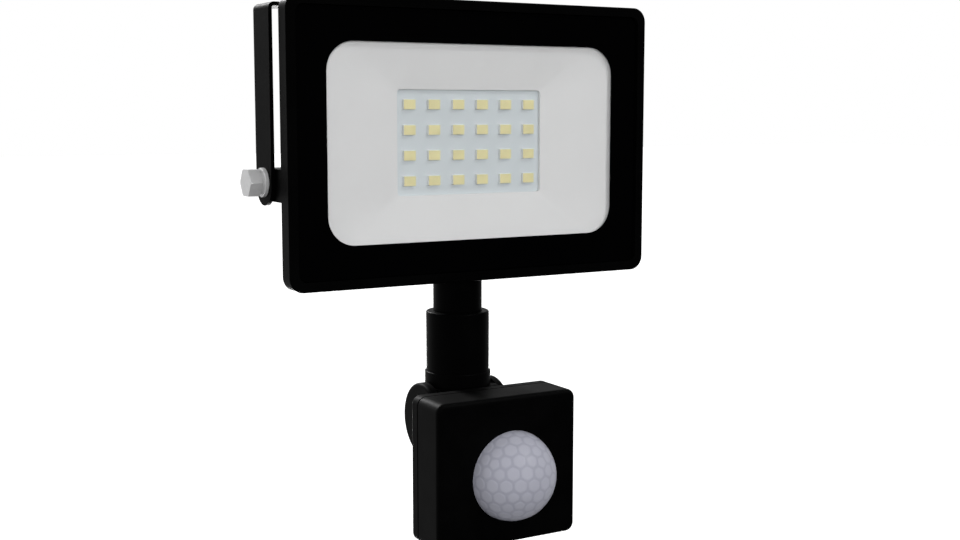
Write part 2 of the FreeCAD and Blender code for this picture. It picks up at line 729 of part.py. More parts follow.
def spring_washers():
    """Split rings between the flat washers and the bolt heads."""
    def one(side):
        ring = tube(SPRING_R, BOLT_R + 0.1, on_leg(side, WASHER_T), on_leg(side, WASHER_T + SPRING_T))
        reach = LEG_OUT + WASHER_T + SPRING_T + EXTRA
        low, high = sorted((0.0, side * reach))
        return ring.cut(box(low, high, 0.0, 0.5, TILT_Z, TILT_Z + 2 * SPRING_R))
    return mirrored_pair(one)


# ---- neck and swivel -----------------------------------------------------------------------
def neck(z):
    return V(0, NECK_Y, z)


def neck_tube():
    """Threaded spigot, body and thinner pivot in one piece, bored for the wires."""
    shoulder = COLLAR_TOP - COUNTERBORE_DEPTH + 0.1
    body = fused([
        rod(THREAD_R, neck(NECK_TOP), neck(THREAD_TOP)),
        rod(NECK_R, neck(shoulder), neck(NECK_TOP)),
        rod(PIVOT_R, neck(PIVOT_END), neck(shoulder)),
    ])
    return body.cut([
        tube(PIVOT_R + EXTRA, PIVOT_R - 0.7, neck(CLIP_TOP - CLIP_T - 0.1), neck(CLIP_TOP + 0.1)),
        tube(PIVOT_R + EXTRA, PIVOT_R - 1.05, neck(O_RING_Z - 0.6), neck(O_RING_Z + 0.6)),
        rod(NECK_BORE_R, neck(PIVOT_END - EXTRA), neck(THREAD_TOP + EXTRA)),
    ])


def neck_seal():
    return tube(NECK_R - 0.1, THREAD_R + 0.1, neck(NECK_TOP), neck(NECK_TOP + NECK_SEAL_T))


def swivel_o_ring():
    return Part.makeTorus(PIVOT_R - 0.52, 0.5, neck(O_RING_Z), Z)


def swivel_clip():
    ring = tube(CLIP_R, PIVOT_R - 0.65, neck(CLIP_TOP - CLIP_T), neck(CLIP_TOP))
    return ring.cut(box(-1.8, 1.8, NECK_Y, NECK_Y + 10.0, CLIP_TOP - 5.0, CLIP_TOP + 5.0))


def swivel_collar():
    """Sleeve that turns on the neck's pivot."""
    sleeve = rod(COLLAR_R, neck(COLLAR_BOTTOM), neck(COLLAR_TOP))
    sleeve = sleeve.makeFillet(0.5, at_top(sleeve.Edges, COLLAR_TOP))
    sleeve = fused([sleeve, rod(SOCKET_R - 0.03, neck(COLLAR_BOTTOM - SOCKET_DEPTH), neck(COLLAR_BOTTOM))])
    return sleeve.cut([
        rod(NECK_R + RUN, neck(COLLAR_TOP - COUNTERBORE_DEPTH), neck(COLLAR_TOP + EXTRA)),
        rod(PIVOT_R + RUN, neck(COLLAR_BOTTOM), neck(COLLAR_TOP)),
        rod(CHAMBER_R, neck(COLLAR_BOTTOM - 2 * SOCKET_DEPTH), neck(CHAMBER_TOP)),
    ])


def hinge(x):
    return V(x, NECK_Y, HINGE_Z)


def knuckle():
    """Ring that the collar screws into, on a round-bottomed block that the head tilts about."""
    block = box(-KNUCKLE_HALF, KNUCKLE_HALF, NECK_Y - KNUCKLE_R, NECK_Y + KNUCKLE_R, HINGE_Z, RING_BOTTOM)
    block = block.makeFillet(KNUCKLE_CORNER_R, at_top(edges_along(block, X), RING_BOTTOM))
    barrel = rod(KNUCKLE_R, hinge(-KNUCKLE_HALF), hinge(KNUCKLE_HALF))
    ring = rod(RING_R, neck(RING_BOTTOM - 0.5), neck(COLLAR_BOTTOM))
    ring = ring.makeFillet(0.35, at_top(ring.Edges, COLLAR_BOTTOM))
    channel_end = LEAD_TURN_Z - 1.8
    slot_half = 3.2
    past = 2 * KNUCKLE_HALF
    cuts = [
        rod(SOCKET_R, neck(COLLAR_BOTTOM - SOCKET_DEPTH), neck(COLLAR_BOTTOM + EXTRA)),
        rod(LEAD_CHANNEL_R, neck(channel_end), neck(COLLAR_BOTTOM)),
        box(-slot_half, slot_half, NECK_Y - past, NECK_Y, channel_end, channel_end + 3.6),
        rod(TILT_SCREW_R + 0.1, hinge(-past), hinge(past)),
    ]
    for side in (-1, 1):
        cuts.append(rod(TRUNNION_R + RUN, hinge(side * (EAR_IN - TRUNNION_L - 0.1)), hinge(side * past)))
    return fused([ring, block, barrel]).cut(cuts)


def swivel_leads():
    """The same three wires where they pass through the knuckle."""
    found = []
    for i in (-1, 0, 1):
        x = i * LEAD_SPREAD
        mouth = V(x, NECK_Y - KNUCKLE_R + 0.8, LEAD_TURN_Z)
        found.append(lead([V(x, NECK_Y, PIVOT_END - 0.6), V(x, NECK_Y, LEAD_TURN_Z), mouth]))
    return group(found)


# ---- sensor head ---------------------------------------------------------------------------
def head_slab(inset, y0, y1, corner_r):
    return slab(HEAD_W - 2 * inset, HEAD_H_Z - 2 * inset, y0, y1, corner_r, z=HEAD_Z)


def post_places():
    return grid((-POST_X, POST_X), (HEAD_Z - POST_Z, HEAD_Z + POST_Z))


def lens_at(y):
    return V(LENS_X, y, LENS_Z)


def head_front_cover():
    """Front shell of the sensor head, with four screw posts and holes for the lens and dials."""
    shell = head_slab(0.0, HEAD_FRONT, HEAD_SPLIT_FRONT, HEAD_CORNER_R)
    shell = shell.makeFillet(HEAD_FRONT_R, edges_on_y(shell, HEAD_FRONT))
    shell = shell.cut(head_slab(HEAD_WALL, HEAD_FRONT + HEAD_WALL, HEAD_SPLIT_FRONT + EXTRA, 1.0))
    posts = [y_rod(POST_R, x, z, HEAD_FRONT + 1.0, SENSOR_BOARD_Y) for x, z in post_places()]
    cuts = [rod(LENS_R + 0.07, lens_at(HEAD_FRONT - EXTRA), lens_at(HEAD_FRONT + HEAD_WALL + EXTRA))]
    for x, z in post_places():
        cuts.append(y_rod(HEAD_SCREW_R + RUN, x, z, HEAD_SCREW_TIP - 0.5, SENSOR_BOARD_Y + EXTRA))
    for x in DIAL_X.values():
        low = V(x, DIAL_Y, HEAD_FLOOR - EXTRA)
        cuts.append(rod(DIAL_R + 0.15, low, V(x, DIAL_Y, HEAD_FLOOR + HEAD_WALL + 0.2)))
    return fused([shell] + posts).cut(cuts)


def ear(side):
    """Round cheek beside the knuckle, with the stub that the knuckle turns on."""
    disc = rod(EAR_R, hinge(side * EAR_IN), hinge(side * EAR_OUT))
    low, high = sorted((side * EAR_IN, side * EAR_OUT))
    web = box(low, high, HEAD_BACK - 1.0, NECK_Y, HINGE_Z - 9.0, HINGE_Z + 6.5)
    cheek = fused([disc, web])
    face = side * EAR_OUT
    outer = [e for e in cheek.Edges
             if max(abs(e.BoundBox.XMin - face), abs(e.BoundBox.XMax - face)) < NEAR
             and e.BoundBox.YMax > HEAD_BACK + 1.0]
    stub = rod(TRUNNION_R, hinge(side * (EAR_IN - TRUNNION_L)), hinge(side * (EAR_IN + 0.5)))
    return fused([cheek.makeFillet(EAR_EDGE_R, outer), stub])


def head_back_cover():
    """Back shell of the sensor head, with the two cheeks of the hinge."""
    shell = head_slab(0.0, HEAD_SPLIT_BACK, HEAD_BACK, HEAD_CORNER_R)
    shell = shell.makeFillet(HEAD_BACK_R, edges_on_y(shell, HEAD_BACK))
    shell = shell.cut(head_slab(HEAD_WALL, HEAD_SPLIT_BACK - EXTRA, HEAD_BACK - HEAD_WALL, 1.0))
    board_back = SENSOR_BOARD_Y + SENSOR_BOARD_T
    bosses = [y_rod(POST_R, x, z, board_back + 0.05, HEAD_BACK - 1.0) for x, z in post_places()]
    past = HEAD_BACK + EXTRA
    cuts = [
        box(-3.5, 3.5, HEAD_SPLIT_BACK, past, LEAD_TURN_Z - 3.2, LEAD_TURN_Z + 1.8),
        rod(TILT_SCREW_R + 0.1, hinge(0.0), hinge(EAR_OUT + EXTRA)),
        rod(INSERT_R, hinge(INSERT_END), hinge(0.0)),
    ]
    for x, z in post_places():
        cuts.append(y_rod(HEAD_SCREW_R + SCREW_CLEARANCE, x, z, board_back - EXTRA, past))
        cuts.append(y_rod(HEAD_SCREW_HEAD_R + 0.2, x, z, HEAD_SCREW_SEAT, past))
    return fused([shell, ear(-1), ear(1)] + bosses).cut(cuts)


def tilt_insert():
    return tube(INSERT_R, TILT_SCREW_R + 0.02, hinge(INSERT_END), hinge(-EAR_IN + TRUNNION_L))


def tilt_screw():
    return pan_screw(TILT_SCREW_R, 3.6, 2.1, hinge(EAR_OUT), hinge(-EAR_OUT + 1.2))


def head_seal():
    outer = head_slab(0.5, HEAD_SPLIT_FRONT, HEAD_SPLIT_BACK, HEAD_CORNER_R - 0.4)
    return outer.cut(head_slab(HEAD_WALL, HEAD_SPLIT_FRONT - EXTRA, HEAD_SPLIT_BACK + EXTRA, 1.0))


def head_screws():
    return y_screws(post_places(), HEAD_SCREW_R, HEAD_SCREW_HEAD_R, 0.95, HEAD_SCREW_SEAT, HEAD_SCREW_TIP)


def pir_lens():
    """Domed lens with a straight root and a flange behind the front wall."""
    wall_back = HEAD_FRONT + HEAD_WALL
    root_back = wall_back + LENS_FLANGE_T
    reach = 2 * LENS_R
    in_front = box(LENS_X - reach, LENS_X + reach, LENS_Y - reach, LENS_Y, LENS_Z - reach, LENS_Z + reach)
    outer = fused([
        Part.makeSphere(LENS_R, lens_at(LENS_Y)).common(in_front),
        rod(LENS_R, lens_at(LENS_Y), lens_at(root_back)),
        rod(LENS_FLANGE_R, lens_at(wall_back), lens_at(root_back)),
    ])
    hollow = fused([
        Part.makeSphere(LENS_R - LENS_T, lens_at(LENS_Y)),
        rod(LENS_R - LENS_T, lens_at(LENS_Y), lens_at(root_back + EXTRA)),
    ])
    return outer.cut(hollow)


def lens_retainer():
    front = HEAD_FRONT + HEAD_WALL + LENS_FLANGE_T
    return tube(LENS_FLANGE_R, LENS_R - 1.4, lens_at(front), lens_at(front + RETAINER_T))


def sensor_board():
    back = SENSOR_BOARD_Y + SENSOR_BOARD_T
    cuts = [y_rod(HEAD_SCREW_R + SCREW_CLEARANCE, x, z, SENSOR_BOARD_Y - EXTRA, back + EXTRA)
            for x, z in post_places()]
    cuts.append(box(-4.0, 4.0, SENSOR_BOARD_Y - EXTRA, back + EXTRA, HEAD_TOP - 5.6, HEAD_TOP))
    return head_slab(HEAD_WALL + 0.9, SENSOR_BOARD_Y, back, 1.0).cut(cuts)


def pir_holder():
    return tube(PIR_CAN_R + 0.8, 3.0, lens_at(PIR_BACK), lens_at(SENSOR_BOARD_Y))


def pir_window(margin, y0, y1):
    """Plate in the middle of the can's lid, a margin in from the window's edges."""
    half_w = 2.0 - margin
    half_h = 1.5 - margin
    return box(LENS_X - half_w, LENS_X + half_w, y0, y1, LENS_Z - half_h, LENS_Z + half_h)


def pir_element():
    """Round metal can of the heat sensor, with a brim and a window hole in its lid."""
    can = rod(PIR_CAN_R, lens_at(PIR_FRONT), lens_at(PIR_BACK))
    brim = rod(PIR_CAN_R + 0.5, lens_at(PIR_BACK - 0.5), lens_at(PIR_BACK))
    return fused([can, brim]).cut(pir_window(0.0, PIR_FRONT - EXTRA, PIR_FRONT + 0.4))


def pir_filter():
    return pir_window(0.05, PIR_FRONT + 0.1, PIR_FRONT + 0.38)


def on_board(width, height, thickness, x, z, corner_r=0.3):
    return slab(width, height, SENSOR_BOARD_Y - thickness, SENSOR_BOARD_Y, corner_r, x, HEAD_Z + z)


def relay():
    return on_board(9.0, 15.0, 6.0, -13.4, -1.5)


def film_capacitor():
    return on_board(8.0, 10.5, 5.6, 13.6, -4.5, 0.8)


def round_capacitor():
    top = SENSOR_BOARD_Y - 5.8
    can = y_rod(3.1, 13.0, HEAD_Z + 6.8, top, SENSOR_BOARD_Y)
    return can.makeFillet(0.5, edges_on_y(can, top))


def controller_chip():
    return on_board(5.0, 6.2, 1.5, -10.0, 10.6, 0.2)


def light_sensor():
    """Clear round-nosed light sensor."""
    radius = 1.5
    nose = V(-3.6, SENSOR_BOARD_Y - 3.0, HEAD_Z + 8.0)
    return fused([y_rod(radius, nose.x, nose.z, nose.y, SENSOR_BOARD_Y), Part.makeSphere(radius, nose)])


def lead_connector():
    return box(-4.0, 4.0, SENSOR_BOARD_Y - 4.0, SENSOR_BOARD_Y, HEAD_TOP - 9.4, HEAD_TOP - 6.0)


def head_leads():
    """The same three wires from the back of the head to the connector."""
    inner_y = SENSOR_BOARD_Y - 2.0
    outer_y = SENSOR_BOARD_Y + 2.6
    over = HEAD_TOP - 4.4
    found = []
    for i in (-1, 0, 1):
        x = i * LEAD_SPREAD
        found.append(lead([
            V(x, inner_y, HEAD_TOP - 6.0),
            V(x, inner_y, over),
            V(x, outer_y, over),
            V(x, outer_y, LEAD_TURN_Z),
            V(x, HEAD_BACK + 0.8, LEAD_TURN_Z),
        ]))
    return group(found)


def trimmers():
    """The three adjusters' bodies, which their dials turn in."""
    half = 3.2
    low = HEAD_FLOOR + HEAD_WALL + 0.3
    top = HEAD_FLOOR + 7.4
    found = []
    for x in DIAL_X.values():
        body = box(x - half, x + half, SENSOR_BOARD_Y - 5.9, SENSOR_BOARD_Y, low, top)
        found.append(body.cut(rod(DIAL_STEM_R + RUN, V(x, DIAL_Y, low - EXTRA), V(x, DIAL_Y, top - 1.5))))
    return group(found)


def dial(x):
    """Slotted adjuster, just proud of the underside of the head, with a pointer notch."""
    face = HEAD_FLOOR - 0.3
    step = HEAD_FLOOR + 1.4
    disc = rod(DIAL_R, V(x, DIAL_Y, face), V(x, DIAL_Y, step))
    disc = disc.makeFillet(0.25, [e for e in disc.Edges if e.BoundBox.ZMax < face + NEAR])
    stem = rod(DIAL_STEM_R, V(x, DIAL_Y, step), V(x, DIAL_Y, HEAD_FLOOR + 5.5))
    slot = box(x - 0.35, x + 0.35, DIAL_Y - 2.0, DIAL_Y + 1.3, face - EXTRA, face + 0.8)
    tip = [V(x - 0.9, DIAL_Y - 1.1, face), V(x + 0.9, DIAL_Y - 1.1, face), V(x, DIAL_Y - 2.2, face)]
    pointer = Part.Face(Part.makePolygon(tip + tip[:1])).extrude(V(0, 0, 0.5))
    return fused([disc, stem]).cut([slot, pointer])


NODES = {
    "bracket": bracket,
    "housing": housing,
    "front_glass": front_glass,
    "glass_border_print": glass_border_print,
    "glass_seal": glass_seal,
    "reflector": reflector,
    "led_board": led_board,
    "thermal_pad": thermal_pad,
    "led_packages": led_packages,
    "led_phosphors": led_phosphors,
    "driver_chips": driver_chips,
    "rectifier": rectifier,
    "chip_resistors": chip_resistors,
    "board_screws": board_screws,
    "rear_cover": rear_cover,
    "rear_cover_seal": rear_cover_seal,
    "rear_cover_screws": rear_cover_screws,
    "gland_body": gland_body,
    "gland_seal": gland_seal,
    "gland_dome_nut": gland_dome_nut,
    "gland_lock_nut": gland_lock_nut,
    "terminal_block": terminal_block,
    "terminal_screws": terminal_screws,
    "earth_screw": earth_screw,
    "earth_tag": earth_tag,
    "lamp_leads": lamp_leads,
    "neck_leads": neck_leads,
    "bracket_bolts": bracket_bolts,
    "flat_washers": flat_washers,
    "spring_washers": spring_washers,
    "neck_tube": neck_tube,
    "neck_seal": neck_seal,
    "swivel_o_ring": swivel_o_ring,
    "swivel_clip": swivel_clip,
    "swivel_collar": swivel_collar,
    "knuckle": knuckle,
    "swivel_leads": swivel_leads,
    "head_front_cover": head_front_cover,
    "head_back_cover": head_back_cover,
    "head_seal": head_seal,
    "head_screws": head_screws,
    "tilt_insert": tilt_insert,
    "tilt_screw": tilt_screw,
    "pir_lens": pir_lens,
    "lens_retainer": lens_retainer,
    "sensor_board": sensor_board,
    "pir_holder": pir_holder,
    "pir_element": pir_element,
    "pir_filter": pir_filter,
    "relay": relay,
    "film_capacitor": film_capacitor,
    "round_capacitor": round_capacitor,
    "controller_chip": controller_chip,
    "light_sensor": light_sensor,
    "lead_connector": lead_connector,
    "head_leads": head_leads,
    "trimmers": trimmers,
}

for node, build in NODES.items():
    shape = build()
    if not shape.isValid():
        print("not valid:", node)
    shape.exportStep("parts/" + node + ".step")

for setting, dial_x in DIAL_X.items():
    dial(dial_x).exportStep("parts/dial_" + setting + ".step")
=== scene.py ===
import bmesh
import bpy
import json
import math
from mathutils import Euler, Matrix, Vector


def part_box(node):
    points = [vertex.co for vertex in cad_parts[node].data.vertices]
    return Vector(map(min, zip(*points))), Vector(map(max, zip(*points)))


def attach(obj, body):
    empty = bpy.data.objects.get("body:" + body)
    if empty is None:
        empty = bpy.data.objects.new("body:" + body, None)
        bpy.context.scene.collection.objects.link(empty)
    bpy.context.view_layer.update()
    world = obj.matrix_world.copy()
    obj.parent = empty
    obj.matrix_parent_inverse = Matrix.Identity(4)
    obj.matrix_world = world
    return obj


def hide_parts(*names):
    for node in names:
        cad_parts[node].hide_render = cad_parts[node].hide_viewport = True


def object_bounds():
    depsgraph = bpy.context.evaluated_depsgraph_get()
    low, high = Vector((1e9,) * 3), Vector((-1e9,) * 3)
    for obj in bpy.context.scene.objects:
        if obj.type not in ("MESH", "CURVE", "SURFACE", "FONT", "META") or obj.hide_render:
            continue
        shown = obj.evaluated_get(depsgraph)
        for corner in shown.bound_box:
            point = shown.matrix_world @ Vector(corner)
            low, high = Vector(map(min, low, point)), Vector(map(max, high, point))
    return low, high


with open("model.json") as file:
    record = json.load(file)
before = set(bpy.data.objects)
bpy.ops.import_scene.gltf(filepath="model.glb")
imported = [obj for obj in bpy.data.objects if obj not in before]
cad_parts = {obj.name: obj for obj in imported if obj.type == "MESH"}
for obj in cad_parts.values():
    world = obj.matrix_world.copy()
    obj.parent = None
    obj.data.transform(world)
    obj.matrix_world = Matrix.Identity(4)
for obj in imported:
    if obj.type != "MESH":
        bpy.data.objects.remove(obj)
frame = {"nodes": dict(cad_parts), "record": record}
cad_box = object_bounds()

# Looks of an LED floodlight with a motion-sensor head: one procedural material for each of the
# record's slots, a lens with moulded cells in place of the plain CAD one, and a plain studio.
# Metres, and watts for the lights, unless a name or comment says otherwise.

MM = 0.001
WHITE = (1.0, 1.0, 1.0, 1.0)

# ---- camera --------------------------------------------------------------------------------
CAMERA_AT = (-0.18394, -0.33096, -0.02777)
CAMERA_TURN = (83.194, 0.0, -30.172)  # degrees
CAMERA_LENS = 50.0  # mm
CAMERA_CLIP = 0.01

# ---- studio --------------------------------------------------------------------------------
# The surroundings light the lamp from DARK_SIDE to BRIGHT_SIDE, brightest towards BRIGHT_WAY.
BRIGHT_WAY = (-0.2, 0.87, 0.4)
DARK_SIDE = 0.03
BRIGHT_SIDE = 0.85
FADE_START = -0.6
FADE_END = 0.9

FLOOR_DROP = 0.9  # below the lamp
FLOOR_SIZE = 60.0
FLOOR_TONES = (0.86, 0.9)
FLOOR_CLOUD_MM = 900.0

# Name, direction from the lamp, distance, side, power, and whether glossy faces mirror it.
LIGHTS = (
    ("fill", (-0.47, -0.87, 0.12), 2.5, 0.4, 26.0, False),
    ("front", (0.3, -1.0, 0.25), 2.5, 1.2, 13.5, False),
    ("key", (0.53, -1.0, 1.15), 1.2, 0.08, 2.75, True),
    ("back", (-0.05, 1.0, 0.5), 1.1, 0.16, 8.5, True),
    ("rear", (0.45, 0.85, -0.5), 1.5, 0.9, 50.0, True),
)

# ---- colours -------------------------------------------------------------------------------
BLACK = (0.0010, 0.0010, 0.00105)
LENS_COLOUR = (0.54, 0.545, 0.63)
# painted shade: the lens colour is multiplied by this in the grooves between its cells
GROOVE_SHADE = (0.84, 0.84, 0.86, 1.0)
LEAD_RED = (0.30, 0.02, 0.015)
LEAD_BLACK = (0.02, 0.02, 0.022)
LEAD_BLUE = (0.03, 0.06, 0.32)
GLASS_THROUGH = (0.991, 0.992, 0.991, 1.0)
GLASS_MIRROR = (0.9, 0.9, 0.9, 1.0)
GLASS_MIRROR_IOR = 1.12  # low, so that the pane mirrors little except at a low angle

# ---- motion lens ---------------------------------------------------------------------------
LENS_TURN = (-0.21, -63.24, -37.03)  # degrees; how the pattern of cells is turned
DOME_SHARE = 12.38 / 14.2  # radius of the dome over radius of its flange
LENS_WALL = 0.9 * MM
DOME_ROOT = 2.3 * MM  # how far the cells stop short of the flange's back
BACK_LIMIT = 0.35  # cells that face further back than this are left out
GROOVE_HALF = 0.36 * MM
GROOVE_DEPTH = 0.11 * MM
GROOVE_PROFILE = ((0.0, 1.0), (0.4, 0.85), (0.75, 0.4), (1.0, 0.02))  # (share inwards, share of depth)
CORNER_ROUND = 0.85
CELL_CROWN = 0.03 * MM
CROWN_INSET = 0.6
CROWN_SHARE = 0.7
WELD = 0.002 * MM
INNER_STEPS = 12
PAINTED_LIGHT_WAY = (0.6, 0.7, -0.2)  # painted light and shade: the lens is coloured lightest low down on its right and darkest on its left, where light and shade fall
PAINTED_LIGHT_REACH = 13.6 * MM
PAINTED_LIGHT_RANGE = (0.86, 1.24)


# ---- node helpers --------------------------------------------------------------------------
class Finish:
    """One Principled material with its texture nodes, in object space and metres."""

    def __init__(self, name, rough=0.5, metallic=0.0, specular=0.5):
        self.material = bpy.data.materials.new(name)
        self.material.use_nodes = True
        self.tree = self.material.node_tree
        self.shader = self.tree.nodes["Principled BSDF"]
        self.place = self.tree.nodes.new("ShaderNodeTexCoord").outputs["Object"]
        self.shader.inputs["Roughness"].default_value = rough
        self.shader.inputs["Metallic"].default_value = metallic
        self.shader.inputs["Specular IOR Level"].default_value = specular

    def link(self, source, target):
        self.tree.links.new(source, target)

    def noise(self, size_mm, detail=2.0, warp=0.0):
        """Noise whose features are about size_mm across."""
        texture = self.tree.nodes.new("ShaderNodeTexNoise")
        texture.inputs["Scale"].default_value = 1.0 / (size_mm * MM)
        texture.inputs["Detail"].default_value = detail
        texture.inputs["Distortion"].default_value = warp
        self.link(self.place, texture.inputs["Vector"])
        return texture.outputs["Fac"]

    def grains(self, size_mm):
        """Distance to the middle of the nearest of many grains, each about size_mm across."""
        texture = self.tree.nodes.new("ShaderNodeTexVoronoi")
        texture.inputs["Scale"].default_value = 1.0 / (size_mm * MM)
        self.link(self.place, texture.inputs["Vector"])
        return texture.outputs["Distance"]

    def ramp(self, source, *stops):
        """Colour ramp; each stop is (position, colour)."""
        node = self.tree.nodes.new("ShaderNodeValToRGB")
        elements = node.color_ramp.elements
        while len(elements) < len(stops):
            elements.new(0.5)
        for element, (position, colour) in zip(elements, stops):
            element.position = position
            element.color = (*colour, 1.0)
        self.link(source, node.inputs["Fac"])
        return node.outputs["Color"]

    def range(self, source, low, high, start=0.3, end=0.7):
        """Source, stretched from start..end to low..high."""
        node = self.tree.nodes.new("ShaderNodeMapRange")
        for name, value in (("From Min", start), ("From Max", end), ("To Min", low), ("To Max", high)):
            node.inputs[name].default_value = value
        self.link(source, node.inputs["Value"])
        return node.outputs["Result"]

    def add(self, first, second, share=1.0):
        node = self.tree.nodes.new("ShaderNodeMath")
        node.operation = "MULTIPLY_ADD"
        node.inputs[1].default_value = share
        self.link(second, node.inputs[0])
        self.link(first, node.inputs[2])
        return node.outputs["Value"]

    def along(self, way):
        """How far each point lies along the direction way."""
        node = self.tree.nodes.new("ShaderNodeVectorMath")
        node.operation = "DOT_PRODUCT"
        node.inputs[1].default_value = way
        self.link(self.place, node.inputs[0])
        return node.outputs["Value"]

    def colour(self, source):
        self.link(source, self.shader.inputs["Base Color"])

    def rough(self, source):
        self.link(source, self.shader.inputs["Roughness"])

    def bump(self, height, depth_mm):
        node = self.tree.nodes.new("ShaderNodeBump")
        node.inputs["Strength"].default_value = 1.0
        node.inputs["Distance"].default_value = depth_mm * MM
        self.link(height, node.inputs["Height"])
        self.link(node.outputs["Normal"], self.shader.inputs["Normal"])


def scaled(colour, factor):
    return tuple(c * factor for c in colour)


# ---- kinds of material: grain, brush and depth in mm ------------------------------------------
def plastic(name, colour, rough=0.45, grain=0.35, depth=0.01, specular=0.5, spread=0.08):
    """Moulded plastic: fine grain, small changes of tone and gloss."""
    made = Finish(name, rough, specular=specular)
    fine = made.noise(grain, 3.0)
    broad = made.noise(grain * 22.0)
    made.colour(made.ramp(broad, (0.3, scaled(colour, 1 - spread)), (0.7, scaled(colour, 1 + spread))))
    made.rough(made.range(made.add(fine, broad), rough - 0.05, rough + 0.05, 0.6, 1.4))
    made.bump(fine, depth)
    return made


def rubber(name, colour):
    return plastic(name, colour, rough=0.7, grain=0.18, depth=0.006, specular=0.3, spread=0.2)


def powder_coat(name, colour, rough, grain, depth, specular):
    """Powder coat: rounded grains under a slight orange peel."""
    made = Finish(name, rough, specular=specular)
    grains = made.grains(grain)
    peel = made.noise(grain * 6.0)
    dust = made.noise(grain * 60.0, 4.0, warp=0.4)
    made.colour(made.ramp(dust, (0.35, scaled(colour, 0.75)), (0.7, scaled(colour, 1.35))))
    made.rough(made.range(made.add(grains, dust), rough - 0.05, rough + 0.07, 0.5, 1.5))
    made.bump(made.add(grains, peel, 1.5), depth)
    return made


def metal(name, colour, rough, brush=0.12, spread=0.1, metallic=1.0):
    """Plated or turned metal: fine marks, and cloudy changes of tone; dull plating is less metallic."""
    made = Finish(name, rough, metallic)
    marks = made.noise(brush, 4.0)
    cloud = made.noise(1.6, 3.0, warp=0.6)
    made.colour(made.ramp(cloud, (0.3, scaled(colour, 1 - spread)), (0.72, scaled(colour, 1 + spread * 0.5))))
    made.rough(made.range(made.add(marks, cloud), rough - 0.08, rough + 0.1, 0.6, 1.4))
    made.bump(marks, 0.002)
    return made


def clear_glass(name):
    """Clear pane: lets the view straight through, and mirrors more at a low angle."""
    made = Finish(name, 0.02)
    tree = made.tree
    through = tree.nodes.new("ShaderNodeBsdfTransparent")
    through.inputs["Color"].default_value = GLASS_THROUGH
    gloss = tree.nodes.new("ShaderNodeBsdfGlossy")
    gloss.inputs["Color"].default_value = GLASS_MIRROR
    smear = made.noise(26.0, 3.0, warp=1.0)
    made.link(made.range(smear, 0.02, 0.06), gloss.inputs["Roughness"])
    lean = tree.nodes.new("ShaderNodeFresnel")
    lean.inputs["IOR"].default_value = GLASS_MIRROR_IOR
    mix = tree.nodes.new("ShaderNodeMixShader")
    made.link(lean.outputs["Fac"], mix.inputs[0])
    made.link(through.outputs[0], mix.inputs[1])
    made.link(gloss.outputs[0], mix.inputs[2])
    made.link(mix.outputs[0], tree.nodes["Material Output"].inputs["Surface"])
    return made


def banded_leads(name):
    """Insulated wires: one colour for each wire, told apart by where they run."""
    made = plastic(name, LEAD_RED, rough=0.4, grain=0.4, depth=0.004)
    side = made.range(made.along(Vector((1, 0, 0))), 0.0, 1.0, -1.2 * MM, 1.2 * MM)
    made.colour(made.ramp(side, (0.0, LEAD_RED), (0.3, LEAD_BLACK), (0.7, LEAD_BLUE)))
    return made


def grooved_lens(name, colour):
    """Milky plastic; painted light makes it lighter towards its lower right, and painted shade darkens it
    where the mesh's groove attribute is high.
    """
    made = plastic(name, colour, rough=0.38, grain=0.5, depth=0.003, specular=0.35, spread=0.01)
    low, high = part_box("pir_lens")
    nose = Vector(((low.x + high.x) / 2, low.y, (low.z + high.z) / 2))
    # painted light and shade: the colour runs from shaded to lit along this direction
    lit_way = Vector(PAINTED_LIGHT_WAY)
    start = nose.dot(lit_way)
    share = made.range(made.along(lit_way), 0.0, 1.0, start, start + PAINTED_LIGHT_REACH)
    dark, pale = (scaled(colour, factor) for factor in PAINTED_LIGHT_RANGE)
    # painted shade in the grooves: the colour is darkened by the groove attribute
    groove = made.tree.nodes.new("ShaderNodeAttribute")
    groove.attribute_name = "groove"
    painted_light_and_shade = made.tree.nodes.new("ShaderNodeMix")
    painted_light_and_shade.data_type = "RGBA"
    painted_light_and_shade.blend_type = "MULTIPLY"
    made.link(groove.outputs["Fac"], painted_light_and_shade.inputs["Factor"])
    made.link(made.ramp(share, (0.0, dark), (1.0, pale)), painted_light_and_shade.inputs["A"])
    painted_light_and_shade.inputs["B"].default_value = GROOVE_SHADE
    made.colour(painted_light_and_shade.outputs["Result"])
    return made


